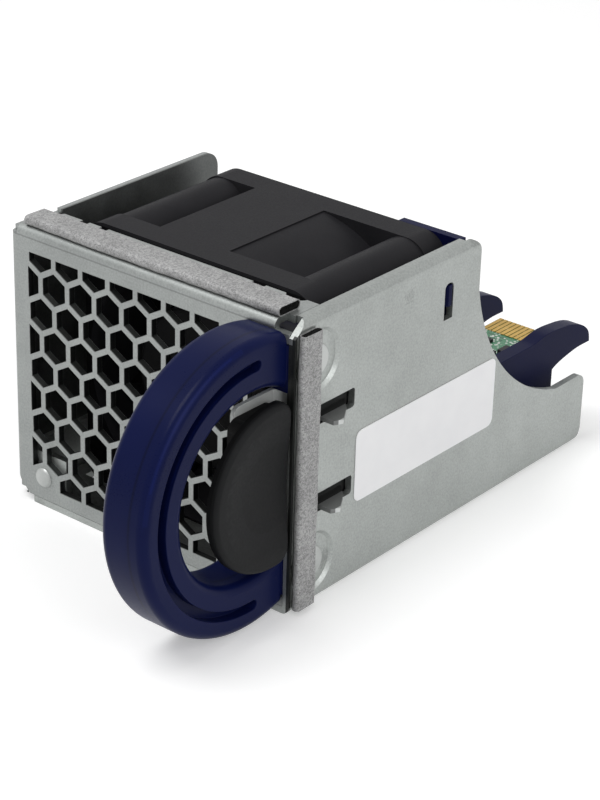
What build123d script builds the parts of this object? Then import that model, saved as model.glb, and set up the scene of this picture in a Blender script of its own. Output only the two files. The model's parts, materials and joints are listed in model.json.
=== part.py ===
from build123d import *
import os
from math import cos, radians, sin, sqrt

# Hot-swap fan module for a server bay, in millimetres.
# X runs across the front from the middle of the chassis, Y runs from the front face to the rear,
# Z runs up from the underside of the floor.

os.makedirs("parts", exist_ok=True)

# Fan housing
fan_size = 40.0
fan_depth = 28.0
fan_front = 9.5
fan_bottom = 0.3
fan_side_gap = 3.75
fan_top_gap = 0.7

# Chassis sheet metal
sheet = 1.0
width = fan_size + 2 * fan_side_gap + 2 * sheet
height = fan_bottom + fan_size + fan_top_gap
chassis_length = 67.5
fold_radius = 1.2
seam = 0.05
seat_gap = 0.3
overrun = 2.0

# Front vent
cell_pitch = 4.9
cell_web = 0.8
first_cell_from_left = 5.7
first_row_from_top = 7.6
vent_left = 3.4
vent_right = 8.2
vent_bottom = 3.1
vent_top = 3.25
rivet_corner_width = 9.6
rivet_corner_height = 5.9
corner_chamfer = 2.6

# Opening for the handle arms and the latch
opening_width = 6.5
opening_bottom = 2.4
opening_top = 38.3

# Top flange of the front panel
flange_depth = 7.1
flange_start = 1.4
flange_left = 3.4
flange_relief_width = 2.3
flange_relief_drop = 1.5
flange_notch_depth = 1.1
flange_notch_width = 1.3
wide_notch_width = 2.1
notch_place_shares = (0.15, 0.22)
wide_notch_place_share = 0.763
scallop_place_share = 0.885
scallop_radius = 1.9
scallop_depth = 1.1

# Left wall
left_wall_height = 40.4
left_wall_length = 41.0
left_wall_corner = 2.5
left_wall_relief = 2.4

# Right wall with its low tail
wall_high_length = 38.9
wall_top_corner = 2.0
wall_neck_height = 33.5
tail_start = 60.0
tail_height = 11.1
tail_curve_length_share = 0.294
tail_curve_height_share = 0.415
tail_top_radius = 1.7
tail_bottom_radius = 2.4
lip_width = 1.0
lip_start = 2.7
lip_end = 36.4
front_cut_length = 2.4
front_cut_height = 1.9
rest_tab_start = 54.0
rest_tab_length = 5.4
rest_tab_width = 1.5
rest_tab_height = 10.6
tray_flange_height = 8.0
tray_flange_start = 2.4

# Latch windows and hook slots
latch_rise = 0.4
window_start = 5.1
window_length = 7.2
window_height = 2.7
window_spacing = 12.6
window_corner = 0.4
slot_start = 31.0
slot_width = 1.9
slot_bottom = 31.4
slot_height = 5.2
slot_corner = 0.8

# Dimples over the handle rivets
dimple_place = 4.6
dimple_radius = 4.4
dimple_depth = 0.45
dimple_slope = 45.0
arm_spacing = 28.8

# Sheet rivets
rivet_radius = 0.9
rivet_head_radius = 1.5
rivet_head_height = 0.3
panel_rivet_from_left = 5.4
panel_rivet_height = 4.4
rivet_tab_left = 2.4
rivet_tab_width = 6.4
rivet_tab_height = 7.6
wall_rivet_first = 14.0
wall_rivet_pitch = 20.0

# Gaskets
gasket_width = 4.3
gasket_skin = 0.3
gasket_inset = 0.4
gasket_round = 0.8
top_gasket_thickness = 1.25
top_gasket_left = 2.4
top_gasket_right = 3.1
side_gasket_thickness = 1.2
side_gasket_bottom = 0.8
side_gasket_top = 1.4

# Ring handle
ring_drop = 0.1
ring_end_gap = 0.4
ring_bore_radius = 13.0
ring_centre_reach = 5.8
ring_thickness = 7.3
ring_wall_gap = 0.3
ring_edge = 1.3
ring_groove_radius = 16.8
ring_groove_width = 1.4
ring_groove_depth = 1.5
ring_groove_angle = 182.0
arm_height = 6.5
arm_thickness = 5.2
arm_length = 7.0
arm_corner = 0.8
handle_rivet_radius = 1.2
handle_rivet_head_radius = 2.3
handle_rivet_head_height = 0.4
handle_rivet_length = 4.6

# Latch spring
latch_sheet = 0.6
latch_pivot_place = 30.0
latch_tail_length = 2.6
latch_leaf_height = 10.4
latch_bore_gap = 0.9
latch_paddle_rear = 12.6
latch_waist_length = 4.0
latch_jog = 1.9
latch_jog_front = 0.05
latch_jog_rear = 2.2
latch_bend = 0.8
latch_nose_reach = 7.6
latch_nose_corner = 1.2
tooth_rise = 3.8
tooth_start_gap = 0.6
tooth_flank = 0.6
tooth_end_gap = 0.4
tooth_level_gap = 0.3
tooth_knee_shares = (0.52, 0.66)
latch_rivet_spacing = 5.2
latch_rivet_radius = 1.1
latch_rivet_clearance = 0.35
latch_rivet_head_radius = 1.8
latch_rivet_head_height = 0.5
latch_head_gap = 0.25
latch_flush_radius = 1.8
latch_flush_depth = 0.5

# Thumb button
button_radius = 11.4
button_thickness = 1.6
button_centre_reach = 3.3
button_drop = 0.4
button_flat_reach = 0.4
button_corner = 2.0
button_edge = 0.7
button_body_height = 20.6
button_body_reach = 8.8
button_body_corner = 1.6
dish_rim = 1.7
dish_depth = 0.9
peg_radius = 1.1
peg_spacing = 11.0
peg_reach = 5.5
peg_head = 0.6
peg_head_radius = 1.6

# Side label
label_start = 12.9
label_length = 31.0
label_bottom = 11.4
label_height = 10.4
label_corner = 1.2
label_thickness = 0.12

# Fan bore, flanges and corner posts
fan_bore_radius = 18.6
fan_mouth_radius = 19.3
fan_mouth_depth = 1.4
fan_corner = 3.6
fan_flange = 4.2
fan_bridge_start = 10.1
fan_bridge_end = 2.2
fan_barrel_wall = 1.3
fan_hole_spacing = 32.0
fan_hole_radius = 1.75
corner_tube_wall = 2.15
strut_count = 4
strut_width = 2.0
strut_depth = 3.1
strut_angle = 20.0
motor_base_radius = 11.2
motor_base_depth = 3.1
motor_base_inset = 0.4
motor_base_cover = 0.9
bearing_tube_wall = 1.0
bearing_tube_front = 7.5
bearing_radius = 2.5
bearing_length = 2.4
bearing_shoulder = 0.5

# Rotor
shaft_radius = 1.0
running_gap = 0.05
hub_front_inset = 1.5
hub_radius = 11.7
hub_length = 22.5
hub_wall = 1.1
hub_face = 1.3
hub_edge = 1.0
hub_boss_radius = 2.6
hub_boss_length = 3.4
yoke_wall = 0.5
yoke_length = 18.6
magnet_wall = 1.2
magnet_length = 9.0
magnet_start = 6.4
air_gap = 0.4
blade_count = 7
blade_tip_gap = 0.55
blade_thickness = 0.9
blade_end = 0.15
blade_root_chord = 17.0
blade_tip_chord = 19.0
blade_root_pitch = 62.0
blade_tip_pitch = 48.0
blade_camber_share = 0.11
blade_sink = 0.8
clip_radius = 2.0
clip_thickness = 0.4
clip_groove = 0.25
clip_gap = 0.2
shaft_tail = 0.8
spring_radius = 1.6
spring_wire = 0.3
spring_turns = 2.5

# Motor
stator_length = 7.0
stator_front_gap = 2.0
stator_ring_wall = 1.7
pole_count = 4
pole_width = 3.2
pole_tip_depth = 1.2
pole_tip_width = 8.6
coil_thickness = 1.2
coil_inset = 0.2
motor_board_radius = 9.7
motor_board_thickness = 1.0
motor_board_gap = 0.6

# Rear carrier behind the fan
carrier_thickness = 2.6
carrier_side_gap = 0.35
carrier_low_height = 38.4
tower_left = 10.7
tower_right = 2.6
tower_height = 40.3
tower_slope = 1.1
tower_thickness = 1.3
outlet_radius = 18.2
outlet_left = 13.0
rail_right_gap = 3.3
rail_thickness = 2.3
rail_spacing = 13.3
rail_height = 17.5
rail_length = 63.9
horn_start = 57.6
horn_tip = 73.5
horn_top_height = 18.0
horn_base_height = 11.7
horn_top_shares = ((0.26, 1.0), (0.51, 0.97), (0.83, 0.78), (0.965, 0.53))
horn_tip_share = 0.22
horn_low_shares = ((0.82, 0.225), (0.64, 0.17), (0.48, 0.085))
deck_height = 11.8
deck_thickness = 1.1
deck_end = 62.0
foot_thickness = 1.0
foot_end = 60.0
hook_thickness = 1.5
hook_gap = 0.2
hook_bottom_gap = 1.7

# Fan screws
fan_screw_head_radius = 2.2
fan_screw_head_height = 1.4
fan_screw_clearance = 0.25
fan_screw_bite = 6.0
driver_radius = 1.0
driver_depth = 0.7

# Circuit board
board_thickness = 1.6
board_top = 15.0
board_front_gap = 1.9
board_neck = 61.0
board_rear = 68.0
board_finger_width = 8.8
board_finger_offset = 1.15
board_rail_gap = 0.3
board_chamfer = 0.4
contact_count = 11
contact_width = 0.62
contact_pitch = 0.78
contact_length = 4.6
contact_inset = 0.5
contact_thickness = 0.1
header_length = 7.4
header_depth = 3.8
header_height = 4.0
header_wall = 0.6
header_gap = 3.6
pin_count = 4
pin_pitch = 1.5
pin_size = 0.45
pin_height = 2.8
chip_size = 3.2
chip_place_shares = ((-0.12, 0.64), (0.24, 0.66), (-0.34, 0.76), (0.0, 0.8), (0.34, 0.85), (0.0, 0.92))
chip_size_shares = ((1.0, 0.8, 0.34), (0.75, 0.9, 0.3), (0.4, 0.6, 0.2), (0.7, 0.4, 0.22), (0.4, 0.7, 0.2), (0.6, 0.3, 0.16))
capacitor_radius = 1.5
capacitor_height = 2.4
capacitor_place_shares = ((-0.32, 0.49), (0.32, 0.49))
board_screw_radius = 0.8
board_screw_head_radius = 1.5
board_screw_head_height = 0.8
board_screw_place = 2.0
board_screw_spacing = 7.6
boss_radius = 1.6

# Places that follow from the sizes above
left = -width / 2
right = width / 2
left_inside = left + sheet
wall_inside = right - sheet
panel_bottom = sheet + seam
panel_right = wall_inside - seam
fold_line = fold_radius - sheet / 2
opening_left = wall_inside - opening_width
flange_end = wall_inside - lip_width - seam
ring_height = height / 2 - ring_drop
ring_radius = height / 2 - ring_end_gap
latch_height = ring_height + latch_rise
latch_paddle_height = 2 * (sqrt(ring_bore_radius ** 2 - ring_centre_reach ** 2) - latch_bore_gap)
button_height = ring_height - button_drop
fan_axis_height = fan_bottom + fan_size / 2
fan_rear = fan_front + fan_depth
fan_axis = Axis((0, 0, fan_axis_height), (0, 1, 0))
fan_section = Plane(origin=(0, 0, fan_axis_height), x_dir=(0, 1, 0), z_dir=(1, 0, 0))
low_corner = (Align.MIN, Align.MIN)
middle_low = (Align.CENTER, Align.MIN)

# Front panel: honeycomb face, top flange and left wall folded from one sheet
row_step = cell_pitch * sqrt(3) / 2
cell_rows = int(height / row_step)
cell_columns = int(width / cell_pitch)
cells = []
for row in range(-1, cell_rows):
    for column in range(-1, cell_columns):
        shift = cell_pitch / 2 if row % 2 else 0
        cell_x = left + first_cell_from_left + column * cell_pitch - shift + cell_pitch / 2
        cell_z = height - first_row_from_top - row * row_step
        if cell_x > left + rivet_corner_width or cell_z > rivet_corner_height:
            cells.append((cell_x, cell_z))

with BuildPart() as front_panel:
    with BuildSketch(Plane.XY.offset(panel_bottom)):
        with BuildLine():
            FilletPolyline(
                (panel_right, sheet / 2),
                (left + sheet / 2, sheet / 2),
                (left + sheet / 2, left_wall_relief + fold_radius),
                radius=fold_line,
            )
        trace(line_width=sheet)
    extrude(amount=height - fold_radius - panel_bottom)
    with BuildSketch(Plane.YZ.offset(left)) as left_wall:
        with BuildLine():
            Polyline(
                (left_wall_relief, 0),
                (left_wall_length, 0),
                (left_wall_length, left_wall_height),
                (fold_radius, left_wall_height),
                (fold_radius, height / 2),
                (left_wall_relief, height / 2),
                close=True,
            )
        make_face()
        fillet(left_wall.vertices().group_by(Axis.X)[-1].sort_by(Axis.Y)[-1], left_wall_corner)
        with Locations(
            (wall_rivet_first, panel_rivet_height),
            (wall_rivet_first + wall_rivet_pitch, panel_rivet_height),
        ):
            Circle(rivet_radius, mode=Mode.SUBTRACT)
    extrude(amount=sheet)
    with BuildSketch(Plane.YZ.offset(left + flange_start)):
        with BuildLine():
            FilletPolyline(
                (sheet / 2, height - 2 * fold_radius),
                (sheet / 2, height - sheet / 2),
                (flange_depth, height - sheet / 2),
                radius=fold_line,
            )
        trace(line_width=sheet)
    extrude(amount=flange_end - left - flange_start)
    with BuildSketch(Plane.XY.offset(height - sheet)):
        with BuildLine():
            Polyline(
                (left, flange_depth - flange_left),
                (left + flange_start, flange_depth - flange_left),
                (left + flange_left, flange_depth),
                (left + flange_left, flange_depth + overrun),
                (left, flange_depth + overrun),
                close=True,
            )
        make_face()
        for share in notch_place_shares:
            with Locations((left + share * width, flange_depth)):
                Rectangle(flange_notch_width, 2 * flange_notch_depth)
        with Locations((left + wide_notch_place_share * width, flange_depth)):
            Rectangle(wide_notch_width, 2 * flange_notch_depth)
        with Locations((left + scallop_place_share * width, flange_depth + scallop_radius - scallop_depth)):
            Circle(scallop_radius)
    extrude(amount=sheet, mode=Mode.SUBTRACT)
    with BuildSketch(Plane.XZ.offset(-sheet)):
        with Locations(*cells):
            RegularPolygon((cell_pitch - cell_web) / sqrt(3), 6, rotation=30)
        with Locations((left + vent_left, vent_bottom)):
            Rectangle(
                width - vent_left - vent_right,
                height - vent_top - vent_bottom,
                align=low_corner,
                mode=Mode.INTERSECT,
            )
        with Locations((opening_left, opening_bottom)):
            Rectangle(opening_width + sheet, opening_top - opening_bottom, align=low_corner)
        with Locations((left + panel_rivet_from_left, panel_rivet_height)):
            Circle(rivet_radius)
        with BuildLine():
            Polyline(
                (left, panel_bottom),
                (left + corner_chamfer, panel_bottom),
                (left, panel_bottom + corner_chamfer),
                close=True,
            )
        make_face()
    extrude(amount=sheet, mode=Mode.SUBTRACT)
    # Relief at the end of the top bend
    with BuildSketch(Plane.XZ.offset(-2 * fold_radius)):
        with Locations((panel_right, height)):
            Rectangle(flange_relief_width, flange_relief_drop, align=(Align.MAX, Align.MAX))
    extrude(amount=2 * fold_radius, mode=Mode.SUBTRACT)
front_panel.part.label = "front_panel"
export_step(front_panel.part, "parts/front_panel.step")

# Base tray: floor, right wall with its low tail, left flange and rivet tab folded from one sheet
tray_left = left_inside + seam
window_heights = (latch_height - window_spacing / 2, latch_height + window_spacing / 2)
window_middle = window_start + window_length / 2
rivet_heights = (ring_height - arm_spacing / 2, ring_height + arm_spacing / 2)
latch_rivet_middle = label_bottom + label_height / 2
latch_rivet_heights = (
    latch_rivet_middle - latch_rivet_spacing / 2,
    latch_rivet_middle + latch_rivet_spacing / 2,
)

with BuildPart() as base_tray:
    with BuildSketch(Plane.XZ.offset(-chassis_length)):
        with BuildLine():
            FilletPolyline(
                (tray_left + sheet / 2, tray_flange_height),
                (tray_left + sheet / 2, sheet / 2),
                (right - sheet / 2, sheet / 2),
                (right - sheet / 2, height - sheet / 2),
                (wall_inside - lip_width, height - sheet / 2),
                radius=fold_line,
            )
        trace(line_width=sheet)
    extrude(amount=chassis_length)
    # Outline of the right wall seen from the side
    with BuildSketch(Plane.YZ.offset(wall_inside - lip_width - overrun)):
        with BuildLine():
            Polyline(
                (tail_start, tail_height),
                (chassis_length + overrun, tail_height),
                (chassis_length + overrun, height + overrun),
                (wall_high_length, height + overrun),
                (wall_high_length, wall_neck_height),
            )
            ThreePointArc(
                (wall_high_length, wall_neck_height),
                (
                    wall_high_length + tail_curve_length_share * (tail_start - wall_high_length),
                    tail_height + tail_curve_height_share * (wall_neck_height - tail_height),
                ),
                (tail_start, tail_height),
            )
        make_face()
        with BuildLine():
            Polyline(
                (0, height),
                (0, height - front_cut_height),
                (front_cut_length, height),
                close=True,
            )
        make_face()
    extrude(amount=lip_width + sheet + 2 * overrun, mode=Mode.SUBTRACT)
    # Ends of the lip along the top of the right wall
    with BuildSketch(Plane.XY.offset(height - fold_radius)):
        with Locations((wall_inside, 0)):
            Rectangle(overrun + lip_width, lip_start, align=(Align.MAX, Align.MIN))
        with Locations((wall_inside, lip_end)):
            Rectangle(overrun + lip_width, wall_high_length - lip_end, align=(Align.MAX, Align.MIN))
    extrude(amount=fold_radius + overrun, mode=Mode.SUBTRACT)
    # Windows, slot and rivet holes of the right wall
    with BuildSketch(Plane.YZ.offset(wall_inside - overrun)):
        with Locations(*[(window_middle, place) for place in window_heights]):
            RectangleRounded(window_length, window_height, window_corner)
        with Locations(*[(dimple_place, place) for place in rivet_heights]):
            Circle(handle_rivet_radius)
        with Locations(*[(latch_pivot_place, place) for place in latch_rivet_heights]):
            Circle(latch_rivet_radius)
    extrude(amount=sheet + 2 * overrun, mode=Mode.SUBTRACT)
    with BuildSketch(Plane.YZ.offset(wall_inside - overrun)) as slot_outline:
        with Locations((slot_start + slot_width / 2, slot_bottom + slot_height / 2)):
            Rectangle(slot_width, slot_height)
        fillet(slot_outline.vertices().group_by(Axis.Y)[-1], slot_corner)
    extrude(amount=sheet + 2 * overrun, mode=Mode.SUBTRACT)
    with BuildSketch(Plane.YZ.offset(right)):
        with Locations(*[(dimple_place, place) for place in rivet_heights]):
            Circle(dimple_radius)
    extrude(amount=-dimple_depth, taper=dimple_slope, mode=Mode.SUBTRACT)
    with BuildSketch(Plane.YZ.offset(right)):
        with Locations(*[(latch_pivot_place, place) for place in latch_rivet_heights]):
            Circle(latch_flush_radius)
    extrude(amount=-latch_flush_depth, mode=Mode.SUBTRACT)
    # Floor window under the fan and the short left flange
    with BuildSketch(Plane.XY):
        with Locations((0, fan_front - seat_gap)):
            Rectangle(fan_size + 2 * seat_gap, fan_depth + 2 * seat_gap, align=middle_low)
        with BuildLine():
            Polyline(
                (tray_left, 0),
                (tray_left + tray_flange_start, 0),
                (tray_left, tray_flange_start),
                close=True,
            )
        make_face()
    extrude(amount=sheet, mode=Mode.SUBTRACT)
    with BuildSketch(Plane.YZ.offset(tray_left)):
        Rectangle(tray_flange_start, tray_flange_height, align=low_corner)
        with Locations(
            (wall_rivet_first, panel_rivet_height),
            (wall_rivet_first + wall_rivet_pitch, panel_rivet_height),
        ):
            Circle(rivet_radius)
    extrude(amount=sheet, mode=Mode.SUBTRACT)
    # Tab behind the vent that takes the front rivet
    with BuildSketch(Plane.YZ.offset(left + rivet_tab_left)):
        with BuildLine():
            FilletPolyline(
                (panel_bottom + sheet / 2, rivet_tab_height),
                (panel_bottom + sheet / 2, sheet / 2),
                (panel_bottom + 2 * fold_radius, sheet / 2),
                radius=fold_line,
            )
        trace(line_width=sheet)
    extrude(amount=rivet_tab_width)
    with BuildSketch(Plane.XZ.offset(-panel_bottom - sheet)):
        with Locations((left + panel_rivet_from_left, panel_rivet_height)):
            Circle(rivet_radius)
    extrude(amount=sheet, mode=Mode.SUBTRACT)
    # Small rest lanced inwards from the tail
    with BuildSketch(Plane.XY.offset(rest_tab_height - sheet)):
        with Locations((wall_inside, rest_tab_start)):
            Rectangle(rest_tab_width, rest_tab_length, align=(Align.MAX, Align.MIN))
    extrude(amount=sheet)
    # Rounded corners of the right wall
    with BuildSketch(Plane.YZ.offset(wall_inside)):
        with Locations((wall_high_length, height)):
            Rectangle(wall_top_corner, wall_top_corner, align=(Align.MAX, Align.MAX))
        with Locations((chassis_length, tail_height)):
            Rectangle(tail_top_radius, tail_top_radius, align=(Align.MAX, Align.MAX))
        with Locations((chassis_length, 0)):
            Rectangle(tail_bottom_radius, tail_bottom_radius, align=(Align.MAX, Align.MIN))
        with Locations((wall_high_length - wall_top_corner, height - wall_top_corner)):
            Circle(wall_top_corner, mode=Mode.SUBTRACT)
        with Locations((chassis_length - tail_top_radius, tail_height - tail_top_radius)):
            Circle(tail_top_radius, mode=Mode.SUBTRACT)
        with Locations((chassis_length - tail_bottom_radius, tail_bottom_radius)):
            Circle(tail_bottom_radius, mode=Mode.SUBTRACT)
    extrude(amount=sheet + overrun, mode=Mode.SUBTRACT)
base_tray.part.label = "base_tray"
export_step(base_tray.part, "parts/base_tray.step")

# Rivets that join the two sheets
with BuildPart() as panel_rivets:
    with BuildSketch(Plane.XZ):
        with Locations((left + panel_rivet_from_left, panel_rivet_height)):
            Circle(rivet_radius)
    extrude(amount=-(panel_bottom + sheet))
    with BuildSketch(Plane.XZ):
        with Locations((left + panel_rivet_from_left, panel_rivet_height)):
            Circle(rivet_head_radius)
    extrude(amount=rivet_head_height, taper=dimple_slope)
    with BuildSketch(Plane.XZ.offset(-panel_bottom - sheet)):
        with Locations((left + panel_rivet_from_left, panel_rivet_height)):
            Circle(rivet_head_radius)
    extrude(amount=-rivet_head_height)
    with BuildSketch(Plane.YZ.offset(left)):
        with Locations(
            (wall_rivet_first, panel_rivet_height),
            (wall_rivet_first + wall_rivet_pitch, panel_rivet_height),
        ):
            Circle(rivet_radius)
    extrude(amount=2 * sheet + seam)
    with BuildSketch(Plane.YZ.offset(tray_left + sheet)):
        with Locations(
            (wall_rivet_first, panel_rivet_height),
            (wall_rivet_first + wall_rivet_pitch, panel_rivet_height),
        ):
            Circle(rivet_head_radius)
    extrude(amount=rivet_head_height)
panel_rivets.part.label = "panel_rivets"
export_step(panel_rivets.part, "parts/panel_rivets.step")

# Gasket on the top flange: fabric sleeve, closed at the left, and its foam core
top_gasket_length = width - top_gasket_left - top_gasket_right
with BuildPart() as top_gasket_foam:
    with BuildSketch(Plane.YZ.offset(left + top_gasket_left + gasket_skin)) as foam_section:
        with Locations((gasket_inset + gasket_skin, height + gasket_skin)):
            Rectangle(gasket_width - 2 * gasket_skin, top_gasket_thickness - 2 * gasket_skin, align=low_corner)
        fillet(foam_section.vertices().group_by(Axis.Y)[-1], gasket_round - gasket_skin)
    extrude(amount=top_gasket_length - gasket_skin)
top_gasket_foam.part.label = "top_gasket_foam"
export_step(top_gasket_foam.part, "parts/top_gasket_foam.step")

with BuildPart() as top_gasket_fabric:
    with BuildSketch(Plane.YZ.offset(left + top_gasket_left)) as sleeve_section:
        with Locations((gasket_inset, height)):
            Rectangle(gasket_width, top_gasket_thickness, align=low_corner)
        fillet(sleeve_section.vertices().group_by(Axis.Y)[-1], gasket_round)
    extrude(amount=top_gasket_length)
    with BuildSketch(Plane.YZ.offset(left + top_gasket_left + gasket_skin)) as core_section:
        with Locations((gasket_inset + gasket_skin, height + gasket_skin)):
            Rectangle(gasket_width - 2 * gasket_skin, top_gasket_thickness - 2 * gasket_skin, align=low_corner)
        fillet(core_section.vertices().group_by(Axis.Y)[-1], gasket_round - gasket_skin)
    extrude(amount=top_gasket_length - gasket_skin, mode=Mode.SUBTRACT)
top_gasket_fabric.part.label = "top_gasket_fabric"
export_step(top_gasket_fabric.part, "parts/top_gasket_fabric.step")

# Gasket on the front of the right wall
side_gasket_length = height - side_gasket_bottom - side_gasket_top
with BuildPart() as side_gasket_foam:
    with BuildSketch(Plane.XY.offset(side_gasket_bottom + gasket_skin)) as side_foam_section:
        with Locations((right + gasket_skin, gasket_inset + gasket_skin)):
            Rectangle(side_gasket_thickness - 2 * gasket_skin, gasket_width - 2 * gasket_skin, align=low_corner)
        fillet(side_foam_section.vertices().group_by(Axis.X)[-1], gasket_round - gasket_skin)
    extrude(amount=side_gasket_length - gasket_skin)
side_gasket_foam.part.label = "side_gasket_foam"
export_step(side_gasket_foam.part, "parts/side_gasket_foam.step")

with BuildPart() as side_gasket_fabric:
    with BuildSketch(Plane.XY.offset(side_gasket_bottom)) as side_sleeve_section:
        with Locations((right, gasket_inset)):
            Rectangle(side_gasket_thickness, gasket_width, align=low_corner)
        fillet(side_sleeve_section.vertices().group_by(Axis.X)[-1], gasket_round)
    extrude(amount=side_gasket_length)
    with BuildSketch(Plane.XY.offset(side_gasket_bottom + gasket_skin)) as side_core_section:
        with Locations((right + gasket_skin, gasket_inset + gasket_skin)):
            Rectangle(side_gasket_thickness - 2 * gasket_skin, gasket_width - 2 * gasket_skin, align=low_corner)
        fillet(side_core_section.vertices().group_by(Axis.X)[-1], gasket_round - gasket_skin)
    extrude(amount=side_gasket_length - gasket_skin, mode=Mode.SUBTRACT)
side_gasket_fabric.part.label = "side_gasket_fabric"
export_step(side_gasket_fabric.part, "parts/side_gasket_fabric.step")

# Ring handle with two arms that pass through the front panel
ring_face = wall_inside - ring_wall_gap
ring_back = ring_face - ring_thickness
with BuildPart() as handle_ring:
    with BuildSketch(Plane.YZ.offset(ring_back)):
        with Locations((-ring_centre_reach, ring_height)):
            Circle(ring_radius)
            Circle(ring_bore_radius, mode=Mode.SUBTRACT)
        with Locations((0, ring_height)):
            Rectangle(2 * ring_radius, 2 * ring_radius, align=(Align.MIN, Align.CENTER), mode=Mode.SUBTRACT)
    extrude(amount=ring_thickness)
    rims = handle_ring.edges().filter_by(GeomType.CIRCLE).group_by(Axis.X)
    fillet(rims[0] + rims[-1], ring_edge)
    for face_place, reach in ((ring_face, -ring_groove_depth), (ring_back, ring_groove_depth)):
        with BuildSketch(Plane.YZ.offset(face_place)):
            with BuildLine(mode=Mode.PRIVATE) as groove_line:
                CenterArc(
                    (-ring_centre_reach, ring_height),
                    ring_groove_radius,
                    180 - ring_groove_angle / 2,
                    ring_groove_angle,
                )
            SlotArc(groove_line.edge(), ring_groove_width)
        extrude(amount=reach, mode=Mode.SUBTRACT)
    with BuildSketch(Plane.YZ.offset(wall_inside)) as arm_section:
        with Locations(*[(0, place) for place in rivet_heights]):
            Rectangle(arm_length, arm_height, align=(Align.MIN, Align.CENTER))
        fillet(arm_section.vertices().group_by(Axis.X)[-1], arm_corner)
    extrude(amount=-arm_thickness)
    with BuildSketch(Plane.YZ.offset(wall_inside)):
        with Locations(*[(dimple_place, place) for place in rivet_heights]):
            Circle(handle_rivet_radius)
    extrude(amount=-(handle_rivet_length - sheet), mode=Mode.SUBTRACT)
handle_ring.part.label = "handle_ring"
export_step(handle_ring.part, "parts/handle_ring.step")

# Rivets in the dimples of the right wall
with BuildPart() as handle_rivets:
    with BuildSketch(Plane.YZ.offset(right - dimple_depth)):
        with Locations(*[(dimple_place, place) for place in rivet_heights]):
            Circle(handle_rivet_head_radius)
    extrude(amount=handle_rivet_head_height)
    head_rims = handle_rivets.edges().filter_by(GeomType.CIRCLE).group_by(Axis.X)[-1]
    chamfer(head_rims, handle_rivet_head_height / 2)
    with BuildSketch(Plane.YZ.offset(right - dimple_depth)):
        with Locations(*[(dimple_place, place) for place in rivet_heights]):
            Circle(handle_rivet_radius)
    extrude(amount=-(handle_rivet_length - dimple_depth))
handle_rivets.part.label = "handle_rivets"
export_step(handle_rivets.part, "parts/handle_rivets.step")

# Latch spring: root pad, leaf with two teeth, jog and paddle
lever_outside = wall_inside - seat_gap
lever_middle = lever_outside - latch_sheet / 2
lever_inside = lever_outside - latch_sheet
paddle_outside = lever_outside - latch_jog
paddle_inside = paddle_outside - latch_sheet
tooth_front = window_start + tooth_start_gap
tooth_rear = window_start + window_length - tooth_end_gap
tooth_tip = lever_outside + tooth_rise
peg_heights = (ring_height - peg_spacing / 2, ring_height + peg_spacing / 2)
with BuildPart() as latch_spring:
    with BuildSketch(Plane.XY.offset(latch_height - latch_paddle_height / 2)):
        with BuildLine():
            FilletPolyline(
                (lever_middle, latch_pivot_place + latch_tail_length),
                (lever_middle, latch_jog_rear),
                (lever_middle - latch_jog, -latch_jog_front),
                (lever_middle - latch_jog, -latch_nose_reach),
                radius=latch_bend,
            )
        trace(line_width=latch_sheet)
    extrude(amount=latch_paddle_height)
    with BuildSketch(Plane.YZ.offset(paddle_inside)) as lever_outline:
        with BuildLine():
            Polyline(
                (-latch_nose_reach, latch_height - latch_paddle_height / 2),
                (latch_paddle_rear, latch_height - latch_paddle_height / 2),
                (latch_paddle_rear + latch_waist_length, latch_rivet_middle - latch_leaf_height / 2),
                (latch_pivot_place + latch_tail_length, latch_rivet_middle - latch_leaf_height / 2),
                (latch_pivot_place + latch_tail_length, latch_rivet_middle + latch_leaf_height / 2),
                (latch_paddle_rear + latch_waist_length, latch_rivet_middle + latch_leaf_height / 2),
                (latch_paddle_rear, latch_height + latch_paddle_height / 2),
                (-latch_nose_reach, latch_height + latch_paddle_height / 2),
                close=True,
            )
        make_face()
        fillet(lever_outline.vertices(), latch_nose_corner)
        with Locations(*[(latch_pivot_place, place) for place in latch_rivet_heights]):
            Circle(latch_rivet_radius + latch_rivet_clearance, mode=Mode.SUBTRACT)
        with Locations(*[(-peg_reach, place) for place in peg_heights]):
            Circle(peg_radius, mode=Mode.SUBTRACT)
    extrude(amount=latch_jog + 2 * latch_sheet, mode=Mode.INTERSECT)
    for place in window_heights:
        with BuildSketch(Plane.XY.offset(place - window_height / 2 + tooth_level_gap)):
            with BuildLine():
                Polyline(
                    (lever_middle, tooth_front),
                    (tooth_tip - tooth_flank, tooth_front),
                    (tooth_tip, tooth_front + 2 * tooth_flank),
                    (
                        lever_outside + tooth_knee_shares[0] * tooth_rise,
                        tooth_front + tooth_knee_shares[1] * (tooth_rear - tooth_front),
                    ),
                    (lever_outside, tooth_rear),
                    (lever_middle, tooth_rear),
                    close=True,
                )
            make_face()
        extrude(amount=latch_sheet)
latch_spring.part.label = "latch_spring"
export_step(latch_spring.part, "parts/latch_spring.step")

# Rivets at the root of the latch spring, flush with the wall
with BuildPart() as latch_rivets:
    with BuildSketch(Plane.YZ.offset(right)):
        with Locations(*[(latch_pivot_place, place) for place in latch_rivet_heights]):
            Circle(latch_flush_radius)
    extrude(amount=-latch_flush_depth)
    with BuildSketch(Plane.YZ.offset(right)):
        with Locations(*[(latch_pivot_place, place) for place in latch_rivet_heights]):
            Circle(latch_rivet_radius)
    extrude(amount=-(right - lever_inside + latch_head_gap))
    with BuildSketch(Plane.YZ.offset(lever_inside - latch_head_gap)):
        with Locations(*[(latch_pivot_place, place) for place in latch_rivet_heights]):
            Circle(latch_rivet_head_radius)
    extrude(amount=-latch_rivet_head_height)
latch_rivets.part.label = "latch_rivets"
export_step(latch_rivets.part, "parts/latch_rivets.step")

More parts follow.
